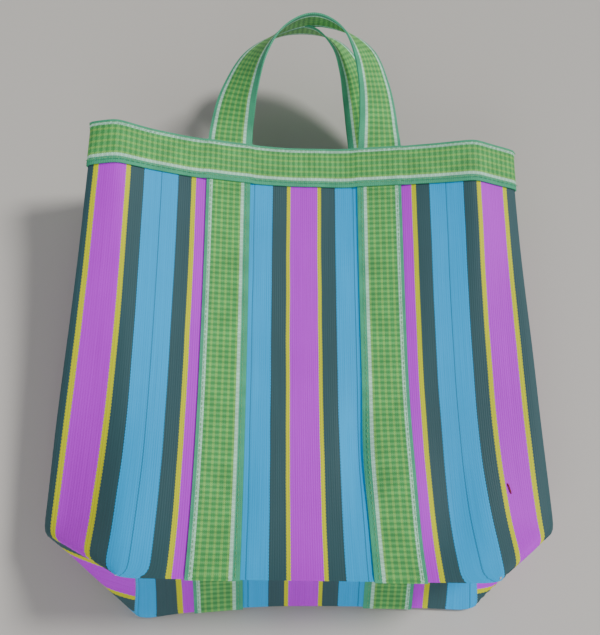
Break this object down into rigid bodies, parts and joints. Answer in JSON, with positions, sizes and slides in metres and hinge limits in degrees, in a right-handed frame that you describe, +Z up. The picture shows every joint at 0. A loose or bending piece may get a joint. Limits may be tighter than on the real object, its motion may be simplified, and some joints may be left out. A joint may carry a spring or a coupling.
{
  "type": "foldable tote bag",
  "caption": "Striped woven market tote lying flat on its back, with a boxed base, folded side gussets, webbing straps and two loop handles.",
  "frame": {"origin": "centre of the bounding box's underside, on the surface that the bag lies on", "axes": "+X across the bag, +Y from the base to the mouth and the handles, +Z up, away from the back panel that it lies on"},
  "size_m": [0.378, 0.5166, 0.1368],
  "materials": {
    "striped_cloth": "plain-woven plastic-yarn cloth in lengthwise stripes of magenta, yellow, dark grey and blue, low sheen",
    "check_webbing": "38 mm woven webbing, green check ground with pale lines and teal edges, slight sheen",
    "seam_tape": "overlocked pale seam allowance",
    "stitching_thread": "polyester thread, satin"
  },
  "bodies": {
    "back": {"back_panel": "striped_cloth", "back_band": "check_webbing", "back_hem": "striped_cloth", "back_strap_left": "check_webbing", "back_strap_right": "check_webbing", "back_bartacks": "stitching_thread", "left_seam_binding": "seam_tape", "right_seam_binding": "seam_tape", "base_panel": "striped_cloth", "base_strap_left": "check_webbing", "base_strap_right": "check_webbing", "left_gusset_front": "striped_cloth", "left_gusset_rear": "striped_cloth", "right_gusset_front": "striped_cloth", "right_gusset_rear": "striped_cloth", "left_corner_gusset": "striped_cloth", "right_corner_gusset": "striped_cloth", "left_band": "check_webbing", "right_band": "check_webbing", "left_corner_seam": "seam_tape", "right_corner_seam": "seam_tape"},
    "front": {"front_panel": "striped_cloth", "front_band": "check_webbing", "front_hem": "striped_cloth", "front_strap_left": "check_webbing", "front_strap_right": "check_webbing", "front_bartacks": "stitching_thread"},
    "front_handle": {"front_handle": "check_webbing"},
    "back_handle": {"back_handle": "check_webbing"}
  },
  "joints": [
    {"name": "press_flat", "type": "hinge", "parent": "back", "child": "front", "pos_m": [0, 0.88505, 0.02], "axis": [1, 0, 0], "range_deg": [0, 3.63], "deforming": ["base_panel", "base_strap_left", "base_strap_right", "left_gusset_front", "left_gusset_rear", "right_gusset_front", "right_gusset_rear", "left_corner_gusset", "right_corner_gusset", "left_band", "right_band", "left_corner_seam", "right_corner_seam"]},
    {"name": "front_handle_swing", "type": "hinge", "parent": "front", "child": "front_handle", "pos_m": [0, 0.13005, 0.0702], "axis": [1, 0, 0], "range_deg": [-2, 118]},
    {"name": "back_handle_swing", "type": "hinge", "parent": "back", "child": "back_handle", "pos_m": [0, 0.13005, 0.0007], "axis": [1, 0, 0], "range_deg": [-17, 2]}
  ]
}
